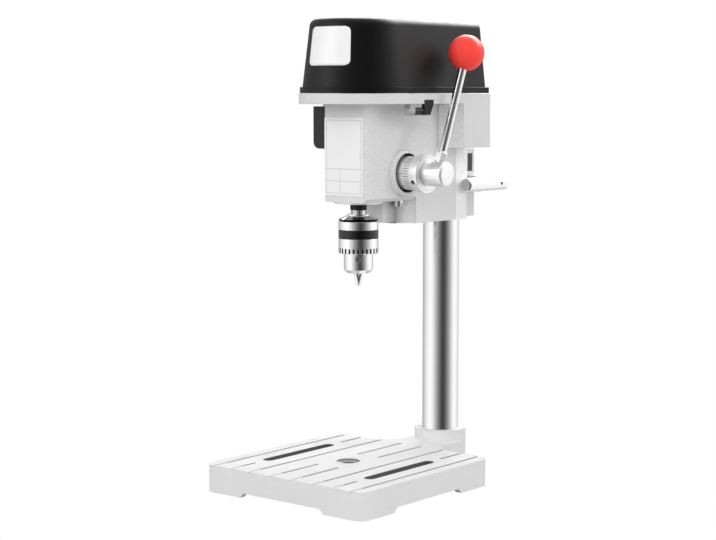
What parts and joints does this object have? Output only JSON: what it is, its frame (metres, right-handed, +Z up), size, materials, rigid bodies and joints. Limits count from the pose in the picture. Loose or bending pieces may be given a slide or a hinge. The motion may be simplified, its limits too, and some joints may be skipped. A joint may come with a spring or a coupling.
{
  "type": "mini bench drill press",
  "caption": "Small bench drill press: slotted square table, chromed column, lever-fed quill with drill chuck, belt drive under a lift-off cover.",
  "frame": {"origin": "on the column axis at ground level, on the underside of the column boss", "axes": "+Z up, -Y to the machine's front, +X to the side of the feed lever"},
  "size_m": [0.17, 0.268, 0.391],
  "materials": {
    "base_paint": "light grey paint on a fine casting",
    "head_paint": "light grey textured paint",
    "tray_paint": "smooth light grey paint",
    "chrome": "bright plated",
    "steel": "turned or rolled",
    "dark_steel": "blackened",
    "machined_alloy": "machined satin",
    "bronze": "bare",
    "black_plastic": "satin black",
    "red_ball": "glossy red",
    "rocker_key": "glossy black",
    "belt_rubber": "moulded",
    "pale_plate": "bare plate, no print",
    "white_plastic": "moulded",
    "yellow_film": "wrapped film"
  },
  "bodies": {
    "base": {"base_plate": "base_paint", "column_set_screw": "dark_steel"},
    "column": {"column": "chrome", "column_plug": "black_plastic"},
    "head": {"head_casting": "head_paint", "nameplate": "pale_plate", "belt_tray": "tray_paint", "tray_screws": "steel", "bearing_housing": "machined_alloy", "housing_screws": "steel", "pulley_bearings": "steel", "drive_belt": "belt_rubber", "motor_can": "steel", "motor_end_bell": "black_plastic", "motor_screws": "steel", "feed_bushes": "bronze", "spring_cap": "tray_paint", "spring_cap_screws": "steel", "return_spring": "steel", "bush_lock_screw": "steel", "latch_pin": "steel", "clamp_nut": "steel", "switch_box": "black_plastic", "cable_gland": "black_plastic", "terminal_block": "white_plastic", "suppressor_capacitor": "yellow_film"},
    "quill": {"quill": "steel", "quill_bearings": "steel"},
    "spindle": {"spindle_shaft": "steel", "spindle_collar": "dark_steel", "chuck_body": "chrome"},
    "chuck_sleeve": {"chuck_sleeve": "chrome", "sleeve_band": "black_plastic", "chuck_nut": "steel"},
    "jaw_1": {"jaw_1": "steel"},
    "jaw_2": {"jaw_2": "steel"},
    "jaw_3": {"jaw_3": "steel"},
    "spindle_pulley": {"spindle_pulley": "machined_alloy", "drive_sleeve": "steel", "pulley_grub_screw": "dark_steel"},
    "motor_rotor": {"motor_armature": "bronze", "motor_pulley": "machined_alloy", "motor_grub_screw": "dark_steel"},
    "feed": {"pinion_shaft": "steel", "feed_pinion": "steel", "feed_hub": "machined_alloy", "lever_rod": "chrome", "lever_nut": "steel", "ball_knob": "red_ball"},
    "dial": {"depth_dial": "machined_alloy", "dial_set_screw": "dark_steel"},
    "belt_cover": {"belt_cover": "black_plastic"},
    "cover_latch": {"cover_latch": "black_plastic"},
    "clamp": {"clamp_screw": "steel", "clamp_bar": "steel"},
    "switch_rocker": {"switch_rocker": "rocker_key"}
  },
  "joints": [
    {"name": "head_swing", "type": "hinge", "parent": "base", "child": "column", "pos_m": [0, 0, 0.1], "axis": [0, 0, 1], "range_deg": [-90, 90]},
    {"name": "head_height", "type": "slide", "parent": "column", "child": "head", "axis": [0, 0, 1], "range_m": [-0.05, 0.015]},
    {"name": "quill_feed", "type": "slide", "parent": "head", "child": "quill", "axis": [0, 0, -1], "range_m": [0, 0.03], "stiffness_N_per_m": 300, "springref_m": -0.05},
    {"name": "feed_lever", "type": "hinge", "parent": "head", "child": "feed", "pos_m": [0, -0.083, 0.264], "axis": [1, 0, 0], "range_deg": [0, 95.5]},
    {"name": "dial_zero", "type": "hinge", "parent": "feed", "child": "dial", "pos_m": [0, -0.083, 0.264], "axis": [1, 0, 0], "range_deg": [-180, 180]},
    {"name": "spindle_spin", "type": "hinge", "parent": "quill", "child": "spindle", "pos_m": [0, -0.115, 0.25], "axis": [0, 0, 1], "continuous": true},
    {"name": "pulley_spin", "type": "hinge", "parent": "head", "child": "spindle_pulley", "pos_m": [0, -0.115, 0.35], "axis": [0, 0, 1], "continuous": true},
    {"name": "motor_spin", "type": "hinge", "parent": "head", "child": "motor_rotor", "pos_m": [0, -0.043, 0.3], "axis": [0, 0, 1], "continuous": true},
    {"name": "sleeve_turn", "type": "hinge", "parent": "spindle", "child": "chuck_sleeve", "pos_m": [0, -0.115, 0.21], "axis": [0, 0, 1], "range_deg": [0, 1440]},
    {"name": "jaw_1_slide", "type": "slide", "parent": "spindle", "child": "jaw_1", "axis": [0.2549, 0.0449, 0.9659], "range_m": [0, 0.009], "stiffness_N_per_m": 0.1, "springref_m": 0.3955},
    {"name": "jaw_2_slide", "type": "slide", "parent": "spindle", "child": "jaw_2", "axis": [-0.1664, 0.1983, 0.9659], "range_m": [0, 0.009], "stiffness_N_per_m": 0.1, "springref_m": 0.3955},
    {"name": "jaw_3_slide", "type": "slide", "parent": "spindle", "child": "jaw_3", "axis": [-0.0885, -0.2432, 0.9659], "range_m": [0, 0.009], "stiffness_N_per_m": 0.1, "springref_m": 0.3955},
    {"name": "cover_lift", "type": "slide", "parent": "head", "child": "belt_cover", "axis": [0, 0, 1], "range_m": [0, 0.075]},
    {"name": "latch_swing", "type": "hinge", "parent": "head", "child": "cover_latch", "pos_m": [0.046, -0.09, 0.3156], "axis": [0, 1, 0], "range_deg": [0, 60]},
    {"name": "clamp_turn", "type": "hinge", "parent": "head", "child": "clamp", "pos_m": [0.0295, 0.025, 0.2506], "axis": [1, 0, 0], "range_deg": [0, 110]},
    {"name": "switch_rock", "type": "hinge", "parent": "head", "child": "switch_rocker", "pos_m": [-0.0403, -0.101, 0.3028], "axis": [0, 1, 0], "range_deg": [-8, 8]}
  ],
  "couplings": [
    {"joint": "feed_lever", "follows": "quill_feed", "rad_per_m": 55.556},
    {"joint": "pulley_spin", "follows": "spindle_spin", "ratio": 1},
    {"joint": "motor_spin", "follows": "spindle_spin", "ratio": 1.2353},
    {"joint": "jaw_1_slide", "follows": "sleeve_turn", "m_per_rad": 0.0003581},
    {"joint": "jaw_2_slide", "follows": "sleeve_turn", "m_per_rad": 0.0003581},
    {"joint": "jaw_3_slide", "follows": "sleeve_turn", "m_per_rad": 0.0003581}
  ]
}
